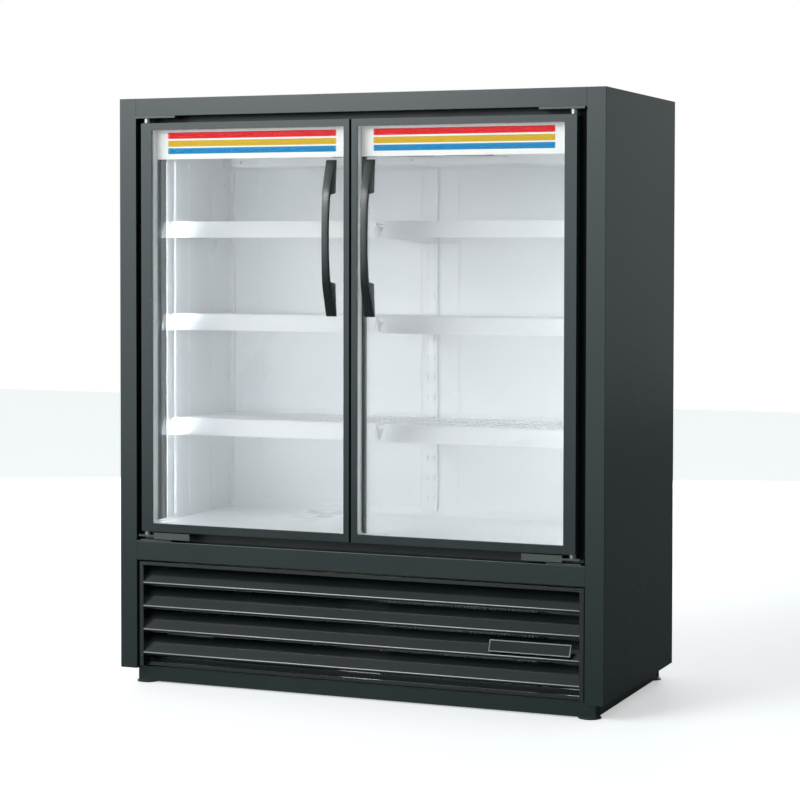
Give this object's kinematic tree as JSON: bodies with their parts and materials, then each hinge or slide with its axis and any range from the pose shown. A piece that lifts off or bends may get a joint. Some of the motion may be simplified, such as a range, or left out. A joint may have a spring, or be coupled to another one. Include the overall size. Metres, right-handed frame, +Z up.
{
  "type": "glass door merchandiser",
  "caption": "Low upright beverage cooler: swing glass doors with bowed pulls over wire shelves in a lit white cold space, louvred condensing-unit grille below.",
  "frame": {"origin": "centre of the footprint on the floor, under the levelling feet, midway between the foremost point of the pulls and the rear skin", "axes": "+X to the right seen from the front, -Y out through the doors, +Z up"},
  "size_m": [1.197, 0.606, 1.386],
  "materials": {
    "black_coat": "satin black powder coat",
    "black_frame": "black anodised extrusion",
    "white_liner": "white enamelled sheet",
    "white_plastic": "white moulded plastic",
    "label_strip": "white extruded label holder",
    "wire_white": "white coated wire",
    "lamp_grey": "grey anodised extrusion",
    "lamp_lens": "frosted light strip",
    "jamb_plastic": "dark grey breaker strip",
    "foam": "closed-cell insulating foam",
    "glass": "clear double glazing",
    "sign_film": "white translucent strip with three colour bands",
    "gasket": "black soft seal",
    "handle": "satin black moulding",
    "hinge_plate": "grey painted steel",
    "foot_black": "black painted steel",
    "zinc": "zinc plated",
    "galv": "galvanised sheet",
    "compressor_black": "gloss black enamel",
    "coil_alu": "bare fins",
    "fan_plastic": "black moulded fan",
    "inlet_black": "black moulded inlet",
    "louvre_black": "semi-gloss black moulding",
    "badge_metal": "satin rim with a dark field"
  },
  "bodies": {
    "cabinet": {"base_frame": "black_coat", "levelling_feet": "foot_black", "side_panel_left": "black_coat", "side_panel_right": "black_coat", "top_panel": "black_coat", "back_panel": "galv", "post_left": "black_coat", "post_right": "black_coat", "header_rail": "black_coat", "sill_rail": "black_coat", "jamb_frame": "jamb_plastic", "centre_mullion": "jamb_plastic", "liner_left": "white_liner", "liner_right": "white_liner", "liner_back": "white_liner", "liner_top": "white_liner", "liner_floor": "white_liner", "foam_insulation": "foam", "lamp_housing_left": "lamp_grey", "lamp_housing_right": "lamp_grey", "lamp_lenses": "lamp_lens", "pilasters": "wire_white", "price_strips_left": "label_strip", "price_strips_right": "label_strip", "shelf_arms": "white_liner", "evaporator_housing": "white_liner", "evaporator_coil": "coil_alu", "condensing_tray": "black_coat", "compressor": "compressor_black", "condenser_coil": "coil_alu", "fan_shroud": "galv", "electrical_box": "galv", "power_inlet": "inlet_black", "grille": "louvre_black", "badge": "badge_metal", "hinge_brackets": "hinge_plate", "hinge_pins": "zinc", "shelf_left_low": "wire_white", "shelf_left_middle": "wire_white", "shelf_left_high": "wire_white", "shelf_right_low": "wire_white", "shelf_right_middle": "wire_white", "shelf_right_high": "wire_white"},
    "door_left": {"door_frame_left": "black_frame", "glazing_ring_left": "white_plastic", "glass_left": "glass", "sign_left": "sign_film", "gasket_left": "gasket", "handle_left": "handle"},
    "door_right": {"door_frame_right": "black_frame", "glazing_ring_right": "white_plastic", "glass_right": "glass", "sign_right": "sign_film", "gasket_right": "gasket", "handle_right": "handle"},
    "evaporator_fan_left": {"evaporator_fan_left": "fan_plastic"},
    "evaporator_fan_right": {"evaporator_fan_right": "fan_plastic"},
    "condenser_fan": {"condenser_fan": "fan_plastic"},
    "thermostat_dial": {"thermostat_dial": "inlet_black"},
    "light_switch": {"light_switch": "inlet_black"}
  },
  "joints": [
    {"name": "door_left_swing", "type": "hinge", "parent": "cabinet", "child": "door_left", "pos_m": [-0.526, -0.252, 0.847], "axis": [0, 0, -1], "range_deg": [0, 115], "stiffness_Nm_per_rad": 3, "springref_deg": -20.05},
    {"name": "door_right_swing", "type": "hinge", "parent": "cabinet", "child": "door_right", "pos_m": [0.526, -0.252, 0.847], "axis": [0, 0, 1], "range_deg": [0, 115], "stiffness_Nm_per_rad": 3, "springref_deg": -20.05},
    {"name": "evaporator_fan_left_spin", "type": "hinge", "parent": "cabinet", "child": "evaporator_fan_left", "pos_m": [-0.22, 0.1749, 1.255], "axis": [0, 0, 1], "continuous": true},
    {"name": "evaporator_fan_right_spin", "type": "hinge", "parent": "cabinet", "child": "evaporator_fan_right", "pos_m": [0.22, 0.1749, 1.255], "axis": [0, 0, 1], "continuous": true},
    {"name": "condenser_fan_spin", "type": "hinge", "parent": "cabinet", "child": "condenser_fan", "pos_m": [0.23, -0.086, 0.172], "axis": [0, 1, 0], "continuous": true},
    {"name": "thermostat_turn", "type": "hinge", "parent": "cabinet", "child": "thermostat_dial", "pos_m": [0.33, 0.094, 1.29], "axis": [0, -1, 0], "range_deg": [-135, 135]},
    {"name": "light_switch_rock", "type": "hinge", "parent": "cabinet", "child": "light_switch", "pos_m": [-0.33, 0.10375, 1.29], "axis": [1, 0, 0], "range_deg": [0, 16]}
  ]
}
